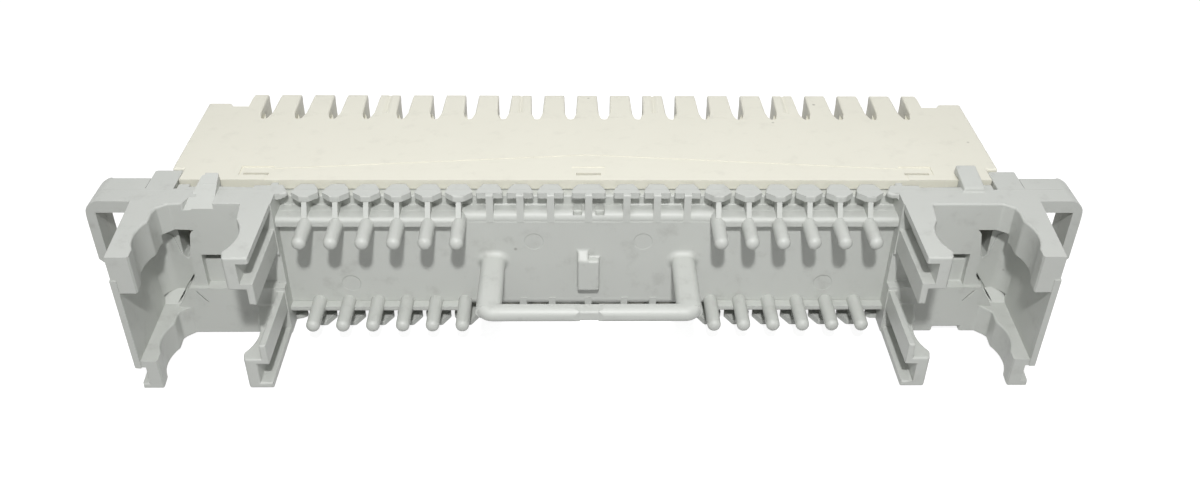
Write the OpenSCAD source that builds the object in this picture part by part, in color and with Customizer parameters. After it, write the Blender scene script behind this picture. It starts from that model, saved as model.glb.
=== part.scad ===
// Disconnection module for twisted-pair wiring, 10 pairs.
// A grey base snaps onto two round profile rods and carries the wire combs and
// guides. An ivory head snaps onto the front of the base and holds two rows of
// insulation-displacement contacts, which meet in pairs along the middle.
//
// +X runs along the module, +Y points to the front where the wires are pushed
// in, +Z is up. The origin is the middle of the footprint, on the underside.

/* [Rods] */
// Diameter of the round profile rods that the module snaps onto
rod_d = 12; // [11:0.25:13]
// Distance between the centres of the two rods
rod_spacing = 95; // [92:0.5:100]
// Clearance between a rod and the wall of its seat
seat_clearance = 0.05; // [0.02:0.01:0.09]

/* [Base] */
// Height of the base
base_h = 19.9; // [19:0.1:20.8]
// Thickness of the back plate and of the plain walls
wall_t = 1.2; // [1:0.05:1.5]
// Distance from the back plate to the flat stop behind a rod
stop_reach = 2.45; // [2.2:0.05:2.8]
// Distance from the back plate to the apron that hangs above the stop
apron_reach = 1.85; // [1.6:0.05:2.1]
// Height of the upper arm of a clamp
arm_h = 5.15; // [4.8:0.05:5.4]
// Distance from a rod's centre to the ends of the clamp arms
arm_overreach = 4.8; // [4.6:0.1:5.4]
// Wall between a rod seat and the label groove beside it
groove_web_t = 0.8; // [0.7:0.05:1.2]
// Depth of the label groove
groove_d = 1.6; // [1.3:0.05:1.8]
// Height of the label groove along the inner arms
groove_h = 2.95; // [2.6:0.05:3.2]
// Thickness of the lips above and below the label groove
lip_t = 0.85; // [0.7:0.05:1]

/* [Wire eyes] */
// Reach of a wire eye beyond the rod seat
eye_reach = 8.7; // [7.8:0.1:10]
// Thickness of the eye's outer wall
eye_wall_t = 1.25; // [1:0.05:1.6]
// Thickness of the eye's top wall
eye_top_t = 1.7; // [1.4:0.1:2.4]
// Length of the eye along the wire
eye_l = 5.6; // [4.5:0.1:6.2]

/* [Wire combs] */
// Posts from the middle post to each end of a comb
posts_per_side = 9; // [7:1:9]
// Posts at each end of a comb that carry a pin
pins_per_side = 6; // [3:1:6]
// Thickness of a post's flat top
post_top_t = 0.8; // [0.6:0.05:1]
// Depth of the comb below the flat tops
comb_depth = 2.65; // [2.4:0.05:2.9]
// Thickness of a post's neck
neck_t = 0.65; // [0.5:0.05:0.9]
// Diameter of a pin at its root
pin_d = 1.8; // [1.5:0.05:1.9]
// Reach of the pins behind the back plate
pin_reach = 5.9; // [4.5:0.1:6.5]

/* [Handle and tab] */
// Distance between the middles of the handle's legs
handle_w = 24.6; // [20:0.2:28]
// Reach of the handle behind the back plate
handle_reach = 11.9; // [9:0.1:13]
// Width of a handle leg
handle_leg_w = 3.1; // [2.4:0.1:3.6]
// Height of the handle, along the module's height
handle_t = 2; // [1.8:0.05:2.6]
// Depth of the handle's bar
handle_bar_d = 2.15; // [1.8:0.05:2.6]
// Width of the middle tab
tab_w = 2.8; // [2:0.1:4]
// Height of the middle tab
tab_h = 4.7; // [3.5:0.1:5.5]

/* [Head] */
// Height of the head
head_h = 20.4; // [20.2:0.1:21.2]
// Depth of the head from its rear edge to the front of its end blocks
head_d = 20.6; // [19.5:0.1:22]
// Thickness of the head's shell
shell_t = 1.4; // [1.2:0.05:1.6]
// Wire slots in each row
slots = 20; // [16:2:20]
// Distance between neighbouring wire slots
slot_pitch = 4.7; // [4.6:0.02:4.72]
// Width of a wire slot
slot_w = 1.9; // [1.7:0.05:2.1]
// Width of the V-grooves that mark every fourth tooth
mark_w = 0.9; // [0.5:0.1:1.2]
// Depth of a wire slot from the tips of the teeth
slot_d = 7.5; // [6.6:0.1:8]
// Reach of the teeth beyond the end blocks
tooth_reach = 2.85; // [2.2:0.05:3.4]
// Height of the row of teeth
tooth_h = 5.7; // [5.2:0.1:6]

/* [Contacts] */
// Thickness of the contact metal
metal_t = 0.5; // [0.4:0.05:0.55]
// Width of a contact's fork
fork_w = 3.8; // [3.4:0.1:4]
// Width of the cutting gap in a fork
fork_gap = 0.35; // [0.25:0.05:0.5]
// Clearance between a contact and its pocket
pocket_clearance = 0.06; // [0.04:0.01:0.1]

/* [Hidden] */
$fn = 48;
EPS = 0.01;

// Working frame: X = 0 and Z = 0 are the middle, Y = 0 is the rear of the back plate.
half_h = base_h / 2;
rod_r = rod_d / 2;
seat_r = rod_r + seat_clearance;
rod_x = rod_spacing / 2;
rod_y = -stop_reach - seat_r;
seat_in = rod_x - rod_r;
seat_out = rod_x + rod_r;
arm_end_y = rod_y - arm_overreach;

// Base, along X
side_wall_t = 1;
side_wall_x = seat_in - groove_web_t - groove_d;
arm_web_x = seat_in - groove_web_t;
arm_face_x = seat_in + 1.3;
arm_root_x = seat_out + 2.9;
arm_tip_x = seat_out + 2;
rear_block_x = seat_out - 1.6;
rear_block_w = 3.45;
recess_end_x = seat_out - 1.85;
stop_end_x = rod_x + 2;
rib_end_x = stop_end_x + 0.95;
side_plate_t = 0.8;
side_plate_x = arm_root_x - 0.4 - side_plate_t;

// Base, along Y
rim_y = -1.25;
recess_y = -apron_reach;
panel_y = recess_y + 1;
spring_y = recess_y + 1.65;
comb_back_y = 2.1;
spigot_far_y = comb_back_y + wall_t;
band_y = 1.75;
end_band_y = 2.8;
post_far_y = 3;
post_wide_y = 0.93;
post_near_y = -0.2;

// Base, along Z
floor_z = half_h - comb_depth;
plate_edge_z = floor_z - 1.3;
arm_low_z = half_h - arm_h;
groove_low_z = half_h - lip_t - groove_h;
leg_z = groove_low_z - lip_t - 2.2;
apron_z = half_h - 7.65;
window_z = half_h - 3.9;
panel_z = apron_z - 1.35;
stop_z = panel_z - 3.55;
slit_z = stop_z + 1.4;
ramp_z = stop_z - 1.6;
lower_arm_z = -arm_low_z - 0.9;
side_plate_z = half_h - 3.3;

// Fingers beside the clamps
finger_end_y = 2.9;
finger_root_z = half_h - 0.75;
finger_gap = 0.1;
finger_low_z = head_h / 2 + finger_gap;
finger_tip_z = finger_low_z + 1.25;

// Head
head_rear_y = 3.4;
head_front_y = head_rear_y + head_d;
tip_y = head_front_y + tooth_reach;
slot_root_y = tip_y - slot_d;
head_half_h = head_h / 2;
head_x = seat_out - 0.2;
tongue_x = rear_block_x - 0.1;
tongue_end_y = head_rear_y + 2.7;
cavity_z = head_half_h - shell_t;
cavity_x = tongue_x - shell_t;
cavity_d = 3.6;
cavity_end_y = head_rear_y + cavity_d;
tooth_z = head_half_h - tooth_h;
row_x = slots / 2 * slot_pitch;
end_tooth_x = row_x + 0.6;

// Fit between the base and the head
spigot_fit = 0.15;
spigot_z = cavity_z - spigot_fit;
spigot_x = cavity_x - spigot_fit;
spigot_y = cavity_end_y - 0.3;
latch_w = 4.2;
latch_in = 3.3;
latch_x = side_wall_x + latch_in;
latch_y = head_rear_y + 1.2;
latch_l = 2.1;

// Combs
post_pitch = side_wall_x / 10.2;

// Contacts
fork_z = head_half_h - 3.2;
leaf_l = 6.2;
fork_root_y = cavity_end_y + 0.6;
fork_tip_y = tip_y - 3.4;
tail_dx = (fork_w - metal_t) / 2 * cos(45);
tail_z = fork_z - tail_dx;
nose_y = fork_root_y + leaf_l;

y_shift = -(tip_y + arm_end_y) / 2;

function two_digits(i) = str(i < 10 ? "0" : "", i);
function upper_name(i) = str("contact_upper_", two_digits(i));
function lower_name(i) = str("contact_lower_", two_digits(i));
function slot_x(i) = (i - (slots + 1) / 2) * slot_pitch;

// ---------------------------------------------------------------- helpers

module both_ends() {
    children();
    mirror([1, 0, 0]) children();
}

module both_faces() {
    children();
    mirror([0, 0, 1]) children();
}

module both_sides_2d() {
    children();
    mirror([1, 0]) children();
}

// Box given by its two corners
module block(x0, x1, y0, y1, z0, z1) {
    translate([x0, y0, z0]) cube([x1 - x0, y1 - y0, z1 - z0]);
}

// Outline in (X, Z), extruded from y0 to y1
module along_y(y0, y1) {
    translate([0, y1, 0]) rotate([90, 0, 0]) linear_extrude(y1 - y0) children();
}

// Outline in (Y, Z), extruded from x0 to x1
module along_x(x0, x1) {
    translate([x0, 0, 0]) rotate([90, 0, 90]) linear_extrude(x1 - x0) children();
}

// Outline in (X, Y), extruded from z0 to z1
module upright(z0, z1) {
    translate([0, 0, z0]) linear_extrude(z1 - z0) children();
}

// Rectangle with rounded corners, centred
module rounded_rect(w, h, r) {
    square([w - 2 * r, h], center = true);
    square([w, h - 2 * r], center = true);
    for (x = [-1, 1], y = [-1, 1]) translate([x * (w / 2 - r), y * (h / 2 - r)]) circle(r);
}

// Concave fillet in the corner of the two axes
module fillet(r) {
    difference() {
        translate([-EPS, -EPS]) square(r + EPS);
        translate([r, r]) circle(r);
    }
}

module place() {
    translate([0, y_shift, head_half_h]) children();
}

// ---------------------------------------------------------------- base

// The plate that closes the rear, with a rounded edge up to the comb's floor
module back_plate() {
    edge_r = 1;
    along_x(-side_wall_x - EPS, side_wall_x + EPS)
        for (m = [0, 1]) mirror([0, m]) {
            polygon([[0, 0], [wall_t, 0], [wall_t, plate_edge_z], [spigot_far_y, plate_edge_z],
                     [spigot_far_y, spigot_z], [comb_back_y, spigot_z], [comb_back_y, floor_z],
                     [edge_r, floor_z], [0, plate_edge_z]]);
            translate([edge_r, floor_z - edge_r]) circle(edge_r);
        }
}

// Flat-topped post: outline seen from above
module post_outline(far_w, wide_w, near_w, near_y) {
    bulge_x = (far_w + wide_w) / 4 + 0.14;
    bulge_y = (post_far_y + post_wide_y) / 2 + 0.12;
    both_sides_2d()
        polygon([
            [0, post_far_y], [far_w / 2, post_far_y], [bulge_x, bulge_y],
            [wide_w / 2, post_wide_y + 0.15], [wide_w / 2, post_wide_y - 0.15],
            [near_w / 2, near_y], [0, near_y]
        ]);
}

// Neck between the floor and the flat top: outline in (Y, Z)
module neck_outline(near_y) {
    polygon([
        [near_y, floor_z - 1], [near_y, floor_z + 0.1], [post_near_y + 0.1, half_h - post_top_t],
        [post_near_y + 0.6, half_h - EPS], [post_far_y - 0.2, half_h - EPS],
        [post_far_y - 0.4, floor_z - 0.2], [0.5, floor_z - 1]
    ]);
}

module pin() {
    tip_d = pin_d - 0.05;
    tip_l = 0.7;
    rotate([-90, 0, 0]) rotate_extrude() polygon(concat(
        [[0, 0.6], [pin_d / 2, 0.6], [pin_d / 2, rim_y]],
        [for (a = [0 : 15 : 90]) [tip_d / 2 * cos(a), -pin_reach + tip_l * (1 - sin(a))]]
    ));
}

module pin_post(drop) {
    near_y = post_near_y - (drop > 0 ? 0.9 : 0);
    upright(half_h - post_top_t, half_h) post_outline(1.8, 3.34, 1.15, near_y);
    along_x(-neck_t / 2, neck_t / 2) neck_outline(rim_y + 0.1);
    translate([0, 0, floor_z - pin_d / 2 + drop]) pin();
}

// Upright fin that carries a flat top without a pin: outline in (Y, Z)
module fin() {
    fin_t = neck_t + 0.25;
    along_x(-fin_t / 2, fin_t / 2)
        polygon([[post_near_y + 0.1, plate_edge_z], [post_near_y + 0.3, half_h - EPS],
                 [post_far_y - 0.2, half_h - EPS], [post_far_y - 0.4, floor_z - 0.2], [0.8, plate_edge_z]]);
}

module plain_post() {
    upright(half_h - post_top_t, half_h) post_outline(1.9, 3.3, 3.1, post_wide_y - 0.3);
    fin();
}

module middle_post() {
    upright(half_h - post_top_t, half_h) post_outline(2.8, 4.3, 3.9, post_wide_y - 0.3);
    fin();
}

// Half a flat top at the root of the inner arm
module end_post() {
    reach = 1.55;
    near_y = 0.4;
    upright(half_h - post_top_t, half_h)
        polygon([[side_wall_x - reach, post_wide_y], [side_wall_x - reach / 2, near_y],
                 [side_wall_x + 3, near_y], [side_wall_x + 3, post_far_y - 0.4],
                 [side_wall_x - reach / 2, post_far_y - 0.4]]);
}

// Row of posts with the lip that carries the pins; drop moves pins and lip toward the posts
module comb(lip_h, drop = 0) {
    lip_r = lip_h / 2;
    lip_end_x = (posts_per_side - pins_per_side + 1.25) * post_pitch;
    lip_root_x = side_wall_x + side_wall_t / 2;
    lip_z = floor_z + drop;
    middle_post();
    both_ends() {
        for (k = [1 : posts_per_side])
            translate([(k + 0.25) * post_pitch, 0, 0])
                if (k > posts_per_side - pins_per_side) pin_post(drop);
                else plain_post();
        end_post();
        // lip under the pins, rounded toward the posts
        block(lip_end_x, lip_root_x, rim_y, wall_t / 2, lip_z - lip_h, lip_z - lip_r);
        block(lip_end_x, lip_root_x, rim_y + lip_r, wall_t / 2, lip_z - lip_h, lip_z);
        along_x(lip_end_x, lip_root_x) translate([rim_y + lip_r, lip_z - lip_r]) circle(lip_r);
    }
}

// Pockets on both sides of the middle post
module middle_pockets() {
    both_ends() block(0.85, 2, 0.2, comb_back_y + EPS, floor_z - 1, floor_z + EPS);
}

// Ring that plugs into the rear of the head
module spigot() {
    both_faces() {
        block(-spigot_x, spigot_x, comb_back_y, spigot_y, spigot_z - wall_t, spigot_z);
    }
    both_ends() block(spigot_x - wall_t, spigot_x, comb_back_y, spigot_y, -spigot_z, spigot_z);
}

// Sockets in the spigot that take the head's latch noses
module latch_sockets() {
    both_faces() for (x = [-latch_x, 0, latch_x])
        block(x - latch_w / 2 + 0.1, x + latch_w / 2 - 0.1, latch_y + 0.2, latch_y + latch_l,
              spigot_z - wall_t - EPS, spigot_z + EPS);
}

// Walls behind a rod: hanging apron, middle panel and the stop that the rod seats on
module end_box() {
    // top and bottom bands
    both_faces() {
        block(side_wall_x, arm_root_x - 1, recess_y, band_y, half_h - wall_t, half_h);
        block(rod_x + 2.6, rear_block_x + EPS, 0, end_band_y, half_h - wall_t, half_h);
    }
    block(side_wall_x, rib_end_x, recess_y, recess_y + wall_t, apron_z, half_h);
    block(side_wall_x, recess_end_x + 1.5, recess_y, recess_y + wall_t, arm_low_z, half_h);
    block(side_wall_x, stop_end_x + 0.8, panel_y, panel_y + wall_t, stop_z, panel_z);
    along_y(-stop_reach, wall_t)
        polygon([[side_wall_x, -half_h], [side_wall_x, stop_z], [stop_end_x, stop_z], [stop_end_x + 1, slit_z],
                 [recess_end_x + 1.5, lower_arm_z + 0.1], [recess_end_x + 1.5, -half_h]]);
    stop_rib();
    block(side_wall_x, side_wall_x + side_wall_t, rim_y, spigot_far_y, -half_h, half_h);
    // floor behind the panels, where the spigot grows out
    block(side_wall_x, arm_root_x - 1.6, 0.6, comb_back_y + EPS, -half_h, half_h);
}

// Rib that ties the apron to the stop across the open gap
module stop_rib() {
    block(rib_end_x - 1.5, rib_end_x, recess_y, panel_y + wall_t, stop_z - 0.5, apron_z + 0.5);
}

// Room around the rod behind the arms' shoulders, back to a wall
module throat(back_y) {
    polygon([
        [seat_in + 1.3, back_y], [seat_in + 0.83, rod_y + 0.5 * rod_r],
        [seat_out - 0.68, rod_y + 0.46 * rod_r], [seat_out - 0.55, rod_y + 0.8 * rod_r],
        [seat_out - 0.8, back_y - 0.9], [recess_end_x, back_y]
    ]);
}

// Seat for the rod with the lead-in at its mouth
module seat_cut() {
    upright(-half_h - 1, half_h + 1) {
        translate([rod_x, rod_y]) circle(seat_r, $fn = 96);
        // mouth
        polygon([
            [seat_in + 1.02, rod_y - 0.56 * rod_r], [seat_in + 0.4, arm_end_y - 1],
            [seat_out - 0.85, arm_end_y - 1], [seat_out - 0.63, rod_y - 0.44 * rod_r]
        ]);
    }
    upright(-half_h - 1, stop_z + EPS) throat(-stop_reach);
    upright(stop_z, half_h + 1) throat(recess_y);
}

// Inner arm: a C-shaped rail beside the rod, open toward the middle
module inner_arm() {
    lip_x = side_wall_x + 0.1;
    along_y(arm_end_y, rim_y + 1)
        polygon([
            [lip_x, half_h], [arm_face_x, half_h], [arm_face_x, groove_low_z - lip_t],
            [side_wall_x + side_wall_t, groove_low_z - lip_t], [side_wall_x + side_wall_t, leg_z],
            [lip_x, leg_z], [lip_x, groove_low_z], [arm_web_x, groove_low_z],
            [arm_web_x, half_h - lip_t], [lip_x, half_h - lip_t]
        ]);
}

// Outer arm, seen from above; inset sets its outer edge back
module outer_arm_outline(inset = 0) {
    polygon([
        [recess_end_x, recess_y + 0.6], [arm_root_x - inset, recess_y + 0.6],
        [arm_tip_x - inset, arm_end_y + 0.15], [seat_out - 0.6, arm_end_y + 0.15], [seat_out - 3, rod_y]
    ]);
}

module outer_arm() {
    foot_t = 0.65;
    upright(arm_low_z, half_h) outer_arm_outline();
    // lower arm, set back between its foot and the side plate
    upright(-half_h, -half_h + foot_t) outer_arm_outline(0.2);
    upright(-half_h, lower_arm_z) outer_arm_outline(1.1);
    upright(-side_plate_z, lower_arm_z) outer_arm_outline();
    // side plate that ties the upper and lower arm together
    upright(-side_plate_z, side_plate_z)
        polygon([
            [side_plate_x, recess_y + 0.6], [side_plate_x + side_plate_t, recess_y + 0.6],
            [arm_tip_x + 0.1, arm_end_y], [arm_tip_x + 0.1 - side_plate_t, arm_end_y]
        ]);
}

// Fillet between the side plate and a wall that faces the rod
module corner_fillet(wall_y) {
    fillet_r = 2;
    translate([side_plate_x + EPS, wall_y]) mirror([1, 0]) mirror([0, 1]) fillet(fillet_r);
}

// Corner between the stop and the side plate: a springy wall over a ramp
module corner_panel() {
    corner_in_x = recess_end_x - 1.5;
    corner_out_x = arm_root_x - 0.4;
    ramp_y = spring_y - (ramp_z - lower_arm_z);
    block(corner_in_x, corner_out_x, spring_y, spring_y + wall_t, -half_h, half_h);
    block(recess_end_x, corner_out_x, recess_y, spring_y + EPS, arm_low_z, half_h);
    along_x(corner_in_x, corner_out_x)
        polygon([[-stop_reach, -half_h], [-stop_reach, lower_arm_z], [ramp_y, lower_arm_z],
                 [spring_y + EPS, ramp_z + EPS], [spring_y + EPS, -half_h]]);
    upright(ramp_z - 0.2, arm_low_z + EPS) corner_fillet(spring_y);
    upright(-side_plate_z, lower_arm_z) corner_fillet(-stop_reach);
}

// Window and slits that free the springy wall beside the stop
module corner_cuts() {
    slit_t = 0.25;
    slit_x = stop_end_x + 0.9;
    slit_end_x = slit_x + 2.9;
    // window under the apron, narrowing down beside the rib
    along_y(recess_y - 1.2, comb_back_y + 1)
        polygon([
            [stop_end_x - 0.3, window_z], [stop_end_x + 3.4, window_z], [stop_end_x + 3.9, window_z - 0.6],
            [stop_end_x + 4.1, window_z - 1.35], [stop_end_x + 3.9, window_z - 1.55],
            [stop_end_x + 3.1, window_z - 2.05], [stop_end_x + 2.6, apron_z - 0.9],
            [stop_end_x + 1.95, apron_z - 1.7], [slit_x + 0.05, apron_z - 1.1], [stop_end_x + 0.25, window_z - 0.55]
        ]);
    // slit down the rib and along the slope of the stop
    along_y(-stop_reach - 1, spring_y + 1)
        polygon([[slit_x, apron_z - 1], [slit_x + slit_t, apron_z - 1], [slit_x + slit_t, slit_z],
                 [slit_end_x + slit_t, lower_arm_z + 0.1], [slit_end_x, lower_arm_z + 0.1], [slit_x, slit_z]]);
    // short slit in the face of the stop
    along_y(-stop_reach - 1, recess_y)
        polygon([[stop_end_x + 0.8, stop_z - 0.5], [stop_end_x + 0.8 + slit_t, stop_z - 0.5],
                 [stop_end_x - 0.45 + slit_t, stop_z - 2.2], [stop_end_x - 0.45, stop_z - 2.2]]);
}

// Upright block beside the head's end
module rear_block() {
    end_y = head_rear_y + 2.6;
    both_faces() block(rear_block_x, rear_block_x + rear_block_w, 0, end_y, half_h - 3.4, half_h);
    block(rear_block_x, rear_block_x + rear_block_w, 0, end_y - 2, -half_h, half_h);
}

// Groove between the rear block and the band beside it
module rear_block_groove() {
    groove_w = 0.45;
    both_faces() block(rear_block_x - groove_w, rear_block_x, band_y - 0.1, end_band_y + 1, half_h - 1, half_h + 1);
}

// Wire eye on the outer end, with a flared mouth at the front
module wire_eye() {
    eye_x = seat_out + eye_reach;
    root_x = side_plate_x + 0.2;
    far_y = rim_y + eye_l;
    corner_r = 2;
    foot_w = 1.2;
    hole_z = half_h - eye_top_t;
    difference() {
        intersection() {
            along_y(rim_y, far_y) {
                translate([root_x, foot_w]) square([eye_x - root_x, half_h - corner_r - foot_w]);
                translate([root_x, foot_w]) square([eye_x - root_x - corner_r, half_h - foot_w]);
                translate([eye_x - corner_r, half_h - corner_r]) circle(corner_r);
                polygon([[root_x, 0], [eye_x - foot_w, 0], [eye_x, foot_w + EPS], [root_x, foot_w + EPS]]);
            }
            upright(-1, half_h + 1) {
                translate([root_x, rim_y]) square([eye_x - root_x, eye_l - corner_r]);
                translate([root_x, rim_y]) square([eye_x - root_x - corner_r, eye_l]);
                translate([eye_x - corner_r, far_y - corner_r]) circle(corner_r);
            }
        }
        upright(eye_wall_t, hole_z)
            polygon([
                [arm_root_x, rim_y - 1], [eye_x - eye_wall_t, rim_y - 1],
                [eye_x - eye_wall_t, far_y - 1.4], [eye_x - eye_wall_t / 2, far_y + EPS],
                [eye_x - eye_wall_t / 2, far_y + 1], [arm_root_x, far_y + 1]
            ]);
    }
}

// Tapering outline of the left finger, seen from above; inset narrows it on its outer edge
module left_finger_outline(inset = [0, 0]) {
    polygon([
        [-rod_x - 2.4 + inset[0], recess_y], [-rod_x + 1.3, recess_y],
        [-rod_x + 1.2, finger_end_y], [-rod_x - 0.9 + inset[1], finger_end_y]
    ]);
}

// Wedge in (Y, Z) that rises from the recess wall; drop lowers its top face
module left_finger_wedge(drop = 0) {
    along_x(-rod_x - 3, -rod_x + 3)
        polygon([[recess_y, finger_root_z - drop], [recess_y, half_h - 1.5], [finger_end_y, half_h - 1.5],
                 [finger_end_y, finger_tip_z - drop]]);
}

// Sloping finger beside the left clamp, with a rebate along its outer edge
module left_finger() {
    rebate_d = 0.35;
    intersection() {
        left_finger_wedge();
        upright(0, finger_tip_z + 1) left_finger_outline([1, 0.5]);
    }
    intersection() {
        left_finger_wedge(rebate_d);
        upright(0, finger_tip_z + 1) left_finger_outline();
    }
}

// Room above the sloping finger where it dips below the top of the base
module left_finger_room() {
    level_y = recess_y + (half_h - finger_root_z) / (finger_tip_z - finger_root_z) * (finger_end_y - recess_y);
    intersection() {
        along_x(-rod_x - 3, -rod_x + 3)
            polygon([[recess_y - EPS, half_h + EPS], [recess_y - EPS, finger_root_z - 0.2], [level_y, half_h + EPS]]);
        upright(0, finger_tip_z + 1) left_finger_outline();
    }
}

// Lifted finger beside the right clamp
module right_finger() {
    near_y = 0.9;
    far_y = 5;
    foot_y = head_rear_y - 0.1;
    intersection() {
        along_x(rod_x - 1, rod_x + 3)
            polygon([[near_y, half_h - 0.2], [near_y, finger_low_z + 0.2], [far_y, finger_tip_z],
                     [far_y, finger_low_z], [foot_y, finger_low_z], [foot_y, half_h - wall_t]]);
        upright(0, finger_tip_z + 1)
            polygon([[rod_x - 0.15, near_y], [rod_x + 2.55, near_y], [rod_x + 2.2, far_y], [rod_x - 0.4, far_y]]);
    }
}

// Notch in the lower edge of the stop behind the right rod
module right_stop_notch() {
    block(rod_x - 1.5, rod_x + 2.1, -stop_reach - 1, -stop_reach + 1, -half_h - 1, -half_h + 0.75);
}

// Flare where a handle leg grows out of the back plate
module leg_flare() {
    flare_r = 0.8;
    leg_r = handle_t / 2;
    half_flat = handle_leg_w / 2 - leg_r;
    both_ends() translate([half_flat, 0, 0]) rotate([90, 0, 0])
        rotate_extrude() translate([leg_r, 0]) fillet(flare_r);
    both_faces() along_x(-half_flat, half_flat)
        translate([0, leg_r]) mirror([1, 0]) fillet(flare_r);
}

// Handle that the wire bundle is led through, with a break-off waist in its bar
module handle() {
    edge_r = handle_t / 2 - 0.05;
    leg_x = handle_w / 2;
    bar_y = -handle_reach + handle_bar_d / 2;
    corner_x = leg_x + handle_leg_w / 2 - handle_bar_d;
    corner_y = -handle_reach + handle_bar_d;
    difference() {
        union() {
            along_x(-corner_x, corner_x) translate([bar_y, 0]) rounded_rect(handle_bar_d, handle_t, edge_r);
            both_ends() {
                along_y(corner_y - edge_r, EPS)
                    translate([leg_x, 0]) rounded_rect(handle_leg_w, handle_t, edge_r);
                translate([corner_x, corner_y, 0]) rotate([0, 0, -90])
                    rotate_extrude(angle = 90) intersection() {
                        rounded_rect(2 * handle_bar_d, handle_t, edge_r);
                        translate([0, -handle_t]) square(2 * handle_t + handle_bar_d);
                    }
                translate([leg_x, 0, 0]) leg_flare();
            }
        }
        handle_waist();
    }
}

// Shallow V-cuts around the middle of the handle's bar
module handle_waist() {
    depth = 0.3;
    wide = 1.9;
    narrow = 1.1;
    upright(-handle_t, handle_t)
        polygon([[-wide, -handle_reach - EPS], [wide, -handle_reach - EPS],
                 [narrow, -handle_reach + depth], [-narrow, -handle_reach + depth]]);
    both_faces() along_y(-handle_reach - 1, -handle_reach + handle_bar_d + 1)
        polygon([[-wide, handle_t / 2 + EPS], [wide, handle_t / 2 + EPS],
                 [narrow, handle_t / 2 - depth], [-narrow, handle_t / 2 - depth]]);
}

// Small stop in the middle of the back plate, with a sloping shoulder
module tab() {
    tab_top_z = 0.65;
    block(-tab_w / 2, tab_w / 2, -1.2, 0.2, tab_top_z - tab_h, tab_top_z);
    along_x(-tab_w / 2, 0)
        polygon([[-1.2, tab_top_z - 1], [-1.2, tab_top_z], [0, tab_top_z + 1.1], [0.2, tab_top_z - 1]]);
}

module base() {
    color("#c4c7c3") place() {
        difference() {
            union() {
                back_plate();
                comb(1.15);
                mirror([0, 0, 1]) comb(0.8, 0.1);
                spigot();
            }
            both_faces() middle_pockets();
            latch_sockets();
        }
        difference() {
            both_ends() {
                end_box();
                both_faces() inner_arm();
                outer_arm();
                corner_panel();
            }
            both_ends() {
                seat_cut();
                corner_cuts();
                rear_block_groove();
            }
            left_finger_room();
            right_stop_notch();
        }
        both_ends() {
            rear_block();
            wire_eye();
        }
        left_finger();
        right_finger();
        handle();
        tab();
    }
}

// ---------------------------------------------------------------- head

// Body seen from above: end blocks, and a narrower tongue between the rear blocks
module head_outline() {
    notch_x = end_tooth_x + 2;
    both_sides_2d()
        polygon([
            [0, head_rear_y], [tongue_x, head_rear_y], [tongue_x, tongue_end_y], [head_x, tongue_end_y],
            [head_x, head_front_y], [notch_x + 0.6, head_front_y], [notch_x, head_front_y - 1],
            [end_tooth_x, head_front_y - 1], [end_tooth_x, slot_root_y + 2], [0, slot_root_y + 2]
        ]);
}

// One wire slot: open at the top, with a V-shaped mouth that centres the wire
module wire_slot() {
    throat_z = head_half_h - 1.2;
    throat_y = slot_root_y + 1.75;
    throat_w = 0.4;
    root_r = 0.5;
    mouth_y = throat_y + 2.4;
    upright(throat_z, head_half_h + 1) {
        polygon([
            [-slot_w / 2 + 0.2, slot_root_y + 2], [-root_r, slot_root_y + root_r], [root_r, slot_root_y + root_r],
            [slot_w / 2 - 0.2, slot_root_y + 2], [slot_w / 2, tip_y + 1], [-slot_w / 2, tip_y + 1]
        ]);
        translate([0, slot_root_y + root_r]) circle(root_r);
    }
    upright(tooth_z - EPS, throat_z + EPS)
        polygon([
            [-throat_w / 2, throat_y], [throat_w / 2, throat_y], [slot_w / 2, mouth_y],
            [slot_w / 2, tip_y + 1], [-slot_w / 2, tip_y + 1], [-slot_w / 2, mouth_y]
        ]);
}

// Row of teeth along the front edge
module tooth_row() {
    bevel_l = 1.1;
    bevel_h = 0.12;
    difference() {
        block(-end_tooth_x, end_tooth_x, slot_root_y, tip_y, tooth_z, head_half_h);
        for (i = [1 : slots]) translate([slot_x(i), 0, 0]) wire_slot();
        along_x(-end_tooth_x - 1, end_tooth_x + 1)
            polygon([[tip_y - bevel_l, head_half_h + EPS], [tip_y + EPS, head_half_h + EPS],
                     [tip_y + EPS, head_half_h - bevel_h]]);
        tooth_marks();
    }
}

// V-grooves along every fourth tooth, which count off the pairs
module tooth_marks() {
    mark_d = 0.35;
    for (i = [4 : 4 : slots - 1])
        translate([slot_x(i + 0.5), 0, 0]) along_y(slot_root_y, tip_y + 1)
            polygon([[-mark_w / 2, head_half_h + EPS], [mark_w / 2, head_half_h + EPS], [0, head_half_h - mark_d]]);
}

// Shallow gabled field on the top and bottom, toward the rear
module gable_field() {
    field_d = 0.06;
    eaves_x = latch_x - 1.4;
    eaves_y = head_rear_y + 2.7;
    ridge_y = eaves_y + 3.6;
    both_faces() upright(head_half_h - field_d, head_half_h + 1)
        polygon([[-eaves_x, head_rear_y - 1], [eaves_x, head_rear_y - 1], [eaves_x, eaves_y],
                 [0, ridge_y], [-eaves_x, eaves_y]]);
}

// Pocket for a pair of contacts: two slanting blades joined by an upright leaf
module contact_pocket() {
    c = pocket_clearance;
    both_faces() {
        translate([0, 0, fork_z]) rotate([0, 45, 0])
            block(-fork_w / 2 - c, fork_w / 2 + c, cavity_end_y - EPS, fork_tip_y + c, -metal_t / 2 - c, metal_t / 2 + c);
        translate([tail_dx, 0, 0])
            block(-metal_t / 2 - c, metal_t / 2 + c, cavity_end_y - EPS, nose_y + 1, -EPS, tail_z + 0.6);
    }
    // opening for the test and disconnection plug
    block(tail_dx - 0.6, tail_dx + 0.6, nose_y + 0.9, slot_root_y + 3, -2, 2);
}

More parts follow.
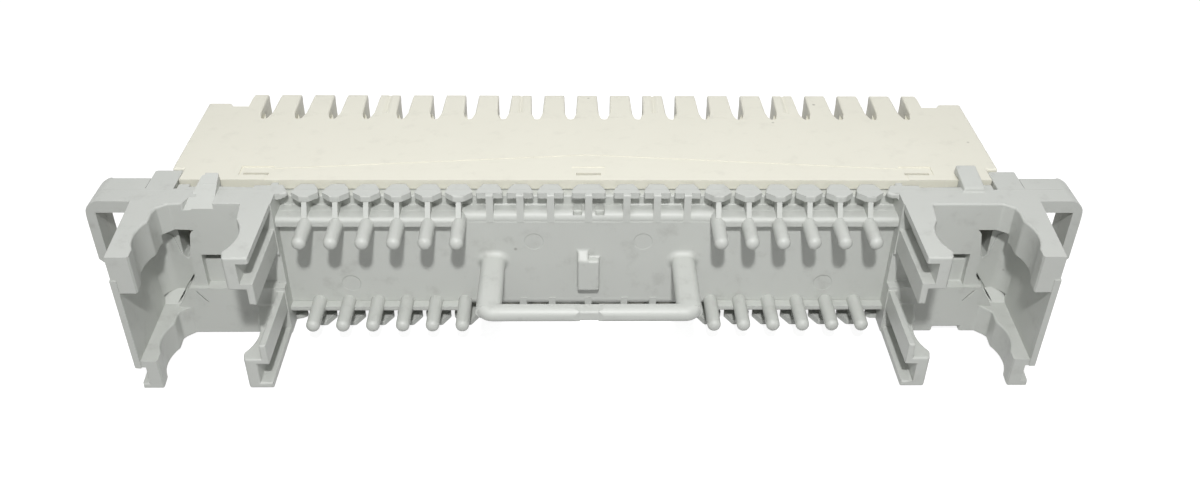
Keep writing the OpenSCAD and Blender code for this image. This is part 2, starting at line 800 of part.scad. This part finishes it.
// Latch: a shallow field outside with a slot along its near edge, and a nose inside
module latch_window() {
    field_d = 0.15;
    slot_end_y = latch_y + 0.7;
    block(-latch_w / 2, latch_w / 2, latch_y, latch_y + latch_l, head_half_h - field_d, head_half_h + 1);
    block(-latch_w / 2 + 0.5, latch_w / 2 - 0.5, latch_y, slot_end_y, cavity_z - EPS, head_half_h + 1);
}

module latch_nose() {
    along_x(-latch_w / 2 + 0.3, latch_w / 2 - 0.3)
        polygon([[latch_y + 0.7, cavity_z + 0.1], [latch_y + 0.7, cavity_z - 0.6], [latch_y + 1.1, cavity_z - 0.8],
                 [latch_y + latch_l - 0.2, cavity_z + 0.1]]);
}

module head() {
    color("#e7e5da") place() difference() {
        union() {
            difference() {
                union() {
                    upright(-head_half_h, head_half_h) head_outline();
                    both_faces() tooth_row();
                }
                // rear cavity that takes the spigot
                block(-cavity_x, cavity_x, head_rear_y - 1, cavity_end_y, -cavity_z, cavity_z);
                // trough between the teeth and the middle belt
                both_faces() block(-end_tooth_x, end_tooth_x, slot_root_y + 0.8, head_front_y, tooth_z - 1, tooth_z + EPS);
                // slots through the body behind the teeth
                both_faces() for (i = [1 : slots]) translate([slot_x(i), 0, 0]) wire_slot();
                for (i = [1 : slots]) translate([slot_x(i), 0, 0]) contact_pocket();
            }
            both_faces() for (x = [-latch_x, 0, latch_x]) translate([x, 0, 0]) latch_nose();
        }
        both_faces() for (x = [-latch_x, 0, latch_x]) translate([x, 0, 0]) latch_window();
        gable_field();
    }
}

// ---------------------------------------------------------------- contacts

// Fork blade, drawn flat: outline in (width, Y)
module fork_outline() {
    w = fork_w / 2;
    difference() {
        polygon([
            [-w, fork_root_y], [w, fork_root_y], [w, fork_tip_y - 0.8], [w - 0.6, fork_tip_y],
            [fork_gap / 2 + 0.5, fork_tip_y], [fork_gap / 2, fork_tip_y - 0.9],
            [-fork_gap / 2, fork_tip_y - 0.9], [-fork_gap / 2 - 0.5, fork_tip_y],
            [-w + 0.6, fork_tip_y], [-w, fork_tip_y - 0.8]
        ]);
        translate([-fork_gap / 2, slot_root_y]) square([fork_gap, slot_d]);
        translate([0, slot_root_y]) circle(fork_gap);
    }
}

// Upright leaf with the spring arm that meets the opposite contact
module leaf_outline() {
    nose_r = 0.7;
    polygon([
        [fork_root_y, tail_z], [fork_root_y, 1.6], [fork_root_y + 0.8, 0.8], [nose_y - 1.4, 0.5],
        [nose_y, 1.35], [nose_y, 1.8], [nose_y - 1.4, 1.1], [fork_root_y + 1.6, 1.6],
        [fork_root_y + 1.6, 3], [fork_root_y + 4, 3.4], [fork_root_y + 4, tail_z]
    ]);
    translate([nose_y - 1.4, nose_r]) circle(nose_r);
}

module contact() {
    translate([0, 0, fork_z]) rotate([0, 45, 0]) upright(-metal_t / 2, metal_t / 2) fork_outline();
    along_x(tail_dx - metal_t / 2, tail_dx + metal_t / 2) leaf_outline();
}

module contact_upper(i) {
    color("#cfd0ce") place() translate([slot_x(i), 0, 0]) contact();
}

module contact_lower(i) {
    color("#cfd0ce") place() translate([slot_x(i), 0, 0]) mirror([0, 0, 1]) contact();
}

base();
head();
for (i = [1 : slots]) {
    contact_upper(i);
    contact_lower(i);
}
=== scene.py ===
import math

import bmesh
import bpy
from mathutils import Matrix, Vector
from mathutils.bvhtree import BVHTree
from mathutils.kdtree import KDTree


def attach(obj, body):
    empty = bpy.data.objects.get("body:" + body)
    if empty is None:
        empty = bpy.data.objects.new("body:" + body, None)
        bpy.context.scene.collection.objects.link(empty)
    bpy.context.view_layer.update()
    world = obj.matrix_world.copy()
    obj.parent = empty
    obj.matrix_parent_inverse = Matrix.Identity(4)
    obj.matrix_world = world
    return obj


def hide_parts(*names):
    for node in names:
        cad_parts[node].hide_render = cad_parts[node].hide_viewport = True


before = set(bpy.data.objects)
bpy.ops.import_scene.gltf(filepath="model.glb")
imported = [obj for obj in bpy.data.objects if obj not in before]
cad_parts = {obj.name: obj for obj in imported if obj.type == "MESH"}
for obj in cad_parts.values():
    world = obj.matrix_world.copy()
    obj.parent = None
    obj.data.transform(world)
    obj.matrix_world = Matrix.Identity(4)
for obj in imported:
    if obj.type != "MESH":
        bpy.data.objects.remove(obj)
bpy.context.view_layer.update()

# The mouldings are rounded in millimetres. A share is of a full round, or of the edge beside it.
MM = 0.001
MERGE_DISTANCE = 0.0005
FLAT_ANGLE = math.radians(0.1)
SHARP_ANGLE = math.radians(28)
EDGE_ROUND = 0.28
ROUND_SEGMENTS = 2
LEAST_SHARE = 0.2
ROOM_SHARE = 0.42
NEARLY_STRAIGHT = math.radians(140)
SLIVER_AREA = 0.0001
PULLED_AWAY = 0.6 * EDGE_ROUND
FOLDED_OVER = 0.15
ROUND_ANGLE = math.radians(6)
BLEND_ANGLE = math.radians(52)
# Each try eases the rounds that end within its reach of a spoilt corner down to its share of them.
ROUNDING_TRIES = ((0.2, 0.7), (0.2, 0.7), (0.2, 0.7), (0.2, 0.7), (0.25, 0.6), (0.3, 0.6), (0.3, 0.6),
                  (0.4, 0.5), (0.5, 0.5), (0.4, 0), (0.6, 0), (1, 0), (1.5, 0), (2, 0))


def room_beside(edge):
    """How wide a round the edge has room for, in millimetres, from the edges that it meets."""
    room = EDGE_ROUND
    for loop in edge.link_loops:
        for beside, corner in ((loop.link_loop_prev, loop), (loop.link_loop_next, loop.link_loop_next)):
            turn = corner.calc_angle()
            if turn < NEARLY_STRAIGHT:
                room = min(room, ROOM_SHARE * beside.edge.calc_length() * math.sin(turn))
                room = min(room, ROOM_SHARE * edge.calc_length() * math.tan(turn / 2))
    return max(room, 0)


def spoilt_corners(mesh, surface):
    """Corners of the triangles that a round folded over or pulled away from the unrounded surface."""
    mesh.calc_loop_triangles()
    corners = []
    for triangle in mesh.loop_triangles:
        if triangle.area > SLIVER_AREA:
            points = [mesh.vertices[index].co for index in triangle.vertices]
            _, outward, _, gap = surface.find_nearest((points[0] + points[1] + points[2]) / 3)
            if gap > PULLED_AWAY or outward.dot(triangle.normal) < FOLDED_OVER:
                corners += points
    return corners


def ease_rounds(mesh, corners, reach, share):
    """Scales down the round of each edge that ends close to these corners; the least ones go sharp."""
    near = KDTree(len(corners))
    for index, corner in enumerate(corners):
        near.insert(corner, index)
    near.balance()
    weights = mesh.attributes["bevel_weight_edge"].data
    for edge in mesh.edges:
        weight = weights[edge.index].value
        if weight > 0 and any(near.find(mesh.vertices[end].co)[2] < reach for end in edge.vertices):
            weights[edge.index].value = share * weight if share * weight > LEAST_SHARE else 0


def shade_evenly(mesh, surface):
    """Keeps flats flat and curved walls smooth up to their edges, and lets the rounds blend into both."""
    rounds = []
    around = [[] for _ in mesh.vertices]
    for face in mesh.polygons:
        _, outward, _, _ = surface.find_nearest(face.center)
        rounds.append(outward.dot(face.normal) < math.cos(ROUND_ANGLE))
        for corner in face.vertices:
            around[corner].append(face)
    normals = []
    for face in mesh.polygons:
        rounded = rounds[face.index]
        closest = math.cos(BLEND_ANGLE if rounded else SHARP_ANGLE)
        for corner in face.vertices:
            blend = face.area * face.normal
            for beside in around[corner]:
                if beside.index != face.index and (rounded or not rounds[beside.index]):
                    if beside.normal.dot(face.normal) > closest:
                        blend += beside.area * beside.normal
            normals.append(blend.normalized())
    mesh.normals_split_custom_set(normals)


def moulded_piece(name, node):
    """The node's shape as one closed shell, with each sharp edge rounded as far as it has room."""
    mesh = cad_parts[node].data.copy()
    mesh.name = name
    mesh.transform(Matrix.Scale(1 / MM, 4))
    shell = bmesh.new()
    shell.from_mesh(mesh)
    bmesh.ops.remove_doubles(shell, verts=shell.verts, dist=MERGE_DISTANCE)
    bmesh.ops.dissolve_degenerate(shell, edges=shell.edges, dist=MERGE_DISTANCE)
    surface = BVHTree.FromBMesh(shell)
    bmesh.ops.dissolve_limit(shell, angle_limit=FLAT_ANGLE, use_dissolve_boundaries=False,
                             verts=shell.verts, edges=shell.edges, delimit=set())
    weight = shell.edges.layers.float.new("bevel_weight_edge")
    for edge in shell.edges:
        if edge.is_manifold and edge.calc_face_angle(0) > SHARP_ANGLE:
            share = room_beside(edge) / EDGE_ROUND
            edge[weight] = share if share > LEAST_SHARE else 0
    for face in shell.faces:
        face.smooth = True
    shell.to_mesh(mesh)
    shell.free()
    piece = bpy.data.objects.new(name, mesh)
    bpy.context.scene.collection.objects.link(piece)
    rounding = piece.modifiers.new("edges", "BEVEL")
    rounding.limit_method = "WEIGHT"
    rounding.width = EDGE_ROUND
    rounding.segments = ROUND_SEGMENTS
    rounding.profile = 0.5
    rounding.use_clamp_overlap = False
    rounding.loop_slide = False
    rounding.miter_outer = "MITER_SHARP"
    for reach, share in ROUNDING_TRIES:
        bpy.context.view_layer.update()
        rounded = piece.evaluated_get(bpy.context.evaluated_depsgraph_get())
        finished = bpy.data.meshes.new_from_object(rounded)
        corners = spoilt_corners(finished, surface)
        if not corners:
            break
        ease_rounds(mesh, corners, reach, share)
        mesh.update()
    piece.modifiers.clear()
    shade_evenly(finished, surface)
    finished.transform(Matrix.Scale(MM, 4))
    piece.data = finished
    piece.data.materials.clear()
    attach(piece, "root")
    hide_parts(node)
    return piece


def feed(tree, node, inputs):
    """Gives each of these inputs of the node its number, its colour or the output that drives it."""
    for name, value in inputs.items():
        if isinstance(value, bpy.types.NodeSocket):
            tree.links.new(value, node.inputs[name])
        else:
            node.inputs[name].default_value = value


def noise(tree, place, size, detail, roughness=0.5):
    """Soft noise with lumps of that size in millimetres."""
    lumps = tree.nodes.new("ShaderNodeTexNoise")
    feed(tree, lumps, {"Vector": place, "Scale": 1 / (size * MM), "Detail": detail, "Roughness": roughness})
    return lumps.outputs["Fac"]


def flattened(tree, place, scale):
    """The place with each axis scaled, so that a pattern is drawn out along an axis with a low scale."""
    mapping = tree.nodes.new("ShaderNodeMapping")
    feed(tree, mapping, {"Vector": place, "Scale": scale})
    return mapping.outputs["Vector"]


def graded(tree, value, start, end, first, last, curve="SMOOTHSTEP"):
    """Goes from first to last while the value goes from start to end."""
    grade = tree.nodes.new("ShaderNodeMapRange")
    grade.interpolation_type = curve
    feed(tree, grade, {"Value": value, "From Min": start, "From Max": end, "To Min": first, "To Max": last})
    return grade.outputs["Result"]


def reckoned(tree, operation, *numbers):
    """The result of one operation on these numbers."""
    step = tree.nodes.new("ShaderNodeMath")
    step.operation = operation
    feed(tree, step, dict(enumerate(numbers)))
    return step.outputs["Value"]


def mixed(tree, share, first, second):
    """The first colour with that share of the second one in it."""
    mix = tree.nodes.new("ShaderNodeMix")
    mix.data_type = "RGBA"
    feed(tree, mix, {"Factor": share, "A": first, "B": second})
    return mix.outputs["Result"]


def relief(tree, height, depth):
    """A bump that stands up by the depth in millimetres where the height is 1."""
    bump = tree.nodes.new("ShaderNodeBump")
    feed(tree, bump, {"Height": height, "Strength": 1, "Distance": depth * MM})
    return bump


CLOUD_SIZE = 9
UNEVEN_GLOSS = 0.06
GRIME_SIZE = 2.6
GRIME_START = 0.52
GRIME_FULL = 0.8
SPECK_SPACING = 3.2
SPECK_CORE = 0.02
SPECK_RIM = 0.1
SPECK_STRENGTH = 0.55
DUST = (0.16, 0.15, 0.13, 1)


def satin_plastic(name, light, dark, roughness, grain, grain_depth, specks, grime):
    """A spark-eroded moulding, faintly cloudy and unevenly satin, with patches of grime and specks."""
    material = bpy.data.materials.new(name)
    material.use_nodes = True
    tree = material.node_tree
    place = tree.nodes.new("ShaderNodeTexCoord").outputs["Object"]
    cloud = noise(tree, place, CLOUD_SIZE, detail=4, roughness=0.55)
    tone = mixed(tree, cloud, (*dark, 1), (*light, 1))
    patches = noise(tree, place, GRIME_SIZE, detail=6, roughness=0.62)
    soiled = mixed(tree, graded(tree, patches, GRIME_START, GRIME_FULL, 0, grime), tone, DUST)
    spots = tree.nodes.new("ShaderNodeTexVoronoi")
    feed(tree, spots, {"Vector": place, "Scale": 1 / (SPECK_SPACING * MM), "Randomness": 1})
    chance = tree.nodes.new("ShaderNodeSeparateColor")
    feed(tree, chance, {"Color": spots.outputs["Color"]})
    picked = reckoned(tree, "LESS_THAN", chance.outputs["Red"], specks)
    dot = graded(tree, spots.outputs["Distance"], SPECK_CORE, SPECK_RIM, SPECK_STRENGTH, 0)
    dusty = mixed(tree, reckoned(tree, "MULTIPLY", picked, dot), soiled, DUST)
    gloss = graded(tree, cloud, 0, 1, roughness - UNEVEN_GLOSS, roughness + UNEVEN_GLOSS, curve="LINEAR")
    erosion = relief(tree, noise(tree, place, grain, detail=3), grain_depth)
    looks = {"Base Color": dusty, "Roughness": gloss, "Normal": erosion.outputs["Normal"]}
    feed(tree, tree.nodes["Principled BSDF"], looks)
    return material


DISC_RADIUS = 1.2
DISC_EDGE = 0.08
RIDGE_REACH = 0.16
RIDGE_HEIGHT = 0.5


def add_tool_marks(material, discs, parting, depth):
    """Shallow ejector discs, seen along Y, and the fine ridge where the halves of the tool met."""
    tree = material.node_tree
    shader = tree.nodes["Principled BSDF"]
    place = tree.nodes.new("ShaderNodeTexCoord").outputs["Object"]
    along = flattened(tree, place, (1, 0, 1))
    split = tree.nodes.new("ShaderNodeSeparateXYZ")
    feed(tree, split, {"Vector": place})
    away = reckoned(tree, "ABSOLUTE", reckoned(tree, "SUBTRACT", split.outputs["Y"], parting * MM))
    height = graded(tree, away, 0, RIDGE_REACH * MM, 1 + RIDGE_HEIGHT, 1)
    for x, z in discs:
        gap = tree.nodes.new("ShaderNodeVectorMath")
        gap.operation = "DISTANCE"
        feed(tree, gap, {0: along, 1: Vector((x, 0, z)) * MM})
        inner = (DISC_RADIUS - DISC_EDGE) * MM
        outer = (DISC_RADIUS + DISC_EDGE) * MM
        height = reckoned(tree, "MULTIPLY", graded(tree, gap.outputs["Value"], inner, outer, 0, 1), height)
    marks = relief(tree, height, depth)
    feed(tree, marks, {"Normal": shader.inputs["Normal"].links[0].from_socket})
    feed(tree, shader, {"Normal": marks.outputs["Normal"]})


base_grey = satin_plastic("base_grey", light=(0.60, 0.615, 0.585), dark=(0.54, 0.555, 0.525),
                          roughness=0.45, grain=0.22, grain_depth=0.012, specks=0.08, grime=0.22)
add_tool_marks(base_grey, discs=((-31, 6.6), (-7, 13.2), (7, 13.2), (31, 6.6)), parting=-5.4, depth=0.05)
base = moulded_piece("moulded_base", "base")
base.data.materials.append(base_grey)

# Contact head
# The ivory head is a second moulding, of a stiffer and whiter plastic, with a row of hard
# teeth along both long edges. It slides on the base's spigot from the front and clips home.
head_ivory = satin_plastic("head_ivory", light=(0.82, 0.805, 0.705), dark=(0.78, 0.765, 0.66),
                           roughness=0.42, grain=0.3, grain_depth=0.008, specks=0.16, grime=0.1)
head = moulded_piece("contact_head", "head")
head.data.materials.append(head_ivory)

# Contacts
# Forty stamped springs of hard, plated copper alloy stand in the head's pockets, an upper one
# and a lower one in each. Stamping leaves faint lines along the strip and the plating dulls them.
TIN_LIGHT = (0.72, 0.72, 0.70, 1)
TIN_DARK = (0.56, 0.56, 0.55, 1)
LEAST_ROUGH = 0.26
MOST_ROUGH = 0.42
LINE_SIZE = 0.15
LINE_STRETCH = 0.08
LINE_DEPTH = 0.004
plated = bpy.data.materials.new("plated_spring")
plated.use_nodes = True
tree = plated.node_tree
place = tree.nodes.new("ShaderNodeTexCoord").outputs["Object"]
lines = noise(tree, flattened(tree, place, (1, LINE_STRETCH, 1)), LINE_SIZE, detail=3)
feed(tree, tree.nodes["Principled BSDF"], {
    "Metallic": 1,
    "Base Color": mixed(tree, lines, TIN_DARK, TIN_LIGHT),
    "Roughness": graded(tree, lines, 0, 1, LEAST_ROUGH, MOST_ROUGH, curve="LINEAR"),
    "Normal": relief(tree, lines, LINE_DEPTH).outputs["Normal"],
})
for name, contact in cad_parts.items():
    if name.startswith("contact_"):
        for slot in contact.material_slots:
            slot.material = plated

# Table and light
# The block lies on a plain white table. A small lamp close above the viewer draws the shadows
# of the pins, and a broad one overhead and the white room fill them.
TABLE_SIZE = 3
TABLE_DROP = 0.05
TABLE_GREY = (0.36, 0.36, 0.36, 1)
TABLE_GLOW = 0.88
ROOM_WHITE = (1, 1, 1, 1)
ROOM_LIGHT = 0.35
ROOM_GLOW = 0.65
bpy.ops.mesh.primitive_plane_add(size=TABLE_SIZE)
table = bpy.context.object
table.name = "table"
table.location.z = -TABLE_DROP * MM


def shown_white(tree, lit, level):
    """Adds a plain white glow, seen by the camera and in reflections only, to the lit shader."""
    ray = tree.nodes.new("ShaderNodeLightPath").outputs
    mirrored = reckoned(tree, "MAXIMUM", ray["Is Glossy Ray"], ray["Is Transmission Ray"])
    seen = reckoned(tree, "MAXIMUM", ray["Is Camera Ray"], mirrored)
    glow = tree.nodes.new("ShaderNodeEmission")
    feed(tree, glow, {"Strength": reckoned(tree, "MULTIPLY", seen, level)})
    both = tree.nodes.new("ShaderNodeAddShader")
    feed(tree, both, {0: lit, 1: glow.outputs["Emission"]})
    return both.outputs["Shader"]


table_white = bpy.data.materials.new("table_white")
table_white.use_nodes = True
tree = table_white.node_tree
paint = tree.nodes["Principled BSDF"]
feed(tree, paint, {"Base Color": TABLE_GREY, "Roughness": 1, "Specular IOR Level": 0})
white_paint = shown_white(tree, paint.outputs["BSDF"], TABLE_GLOW)
feed(tree, tree.nodes["Material Output"], {"Surface": white_paint})
table.data.materials.append(table_white)

room = bpy.data.worlds.new("room")
room.use_nodes = True
bpy.context.scene.world = room
tree = room.node_tree
walls = tree.nodes["Background"]
feed(tree, walls, {"Color": ROOM_WHITE, "Strength": ROOM_LIGHT})
white_walls = shown_white(tree, walls.outputs["Background"], ROOM_GLOW)
feed(tree, tree.nodes["World Output"], {"Surface": white_walls})

MIDDLE = Vector((0, 0, 0.01))


def lamp(name, kind, place, power):
    """A soft lamp at that place, turned to the middle of the block."""
    light = bpy.data.lights.new(name, kind)
    light.energy = power
    fitting = bpy.data.objects.new(name, light)
    fitting.location = place
    fitting.rotation_euler = (MIDDLE - Vector(place)).to_track_quat("-Z", "Y").to_euler()
    bpy.context.scene.collection.objects.link(fitting)
    return light


key = lamp("key", "SPOT", place=(0.001, -0.160, 0.199), power=1.68)
key.shadow_soft_size = 0.008
key.spot_size = math.radians(60)
key.spot_blend = 1
ceiling = lamp("ceiling", "AREA", place=(0, 0, 0.7), power=0.8)
ceiling.size = 0.6

# Camera
# The viewer stands behind the block, on the side that snaps onto the rods, and looks down on it.
LENS = 33.43
SENSOR_WIDTH = 36
NEAREST_SEEN = 0.005
EYE = Vector((-1.619, -124.095, 94.87)) * MM
YAW = math.radians(1.5157)
ELEVATION = math.radians(35.215)
ROLL = math.radians(0.8396)
level = Vector((math.sin(YAW), math.cos(YAW), 0))
forward = math.cos(ELEVATION) * level + Vector((0, 0, -math.sin(ELEVATION)))
right = Vector((math.cos(YAW), -math.sin(YAW), 0))
up = right.cross(forward)
rolled_right = math.cos(ROLL) * right + math.sin(ROLL) * up
rolled_up = math.cos(ROLL) * up - math.sin(ROLL) * right
turned = Matrix((rolled_right, rolled_up, -forward)).transposed().to_4x4()
view = bpy.data.cameras.new("view")
view.lens = LENS
view.sensor_width = SENSOR_WIDTH
view.clip_start = NEAREST_SEEN
camera = bpy.data.objects.new("view", view)
camera.matrix_world = Matrix.Translation(EYE) @ turned
bpy.context.scene.collection.objects.link(camera)
bpy.context.scene.camera = camera
bpy.context.scene.view_settings.view_transform = "Standard"
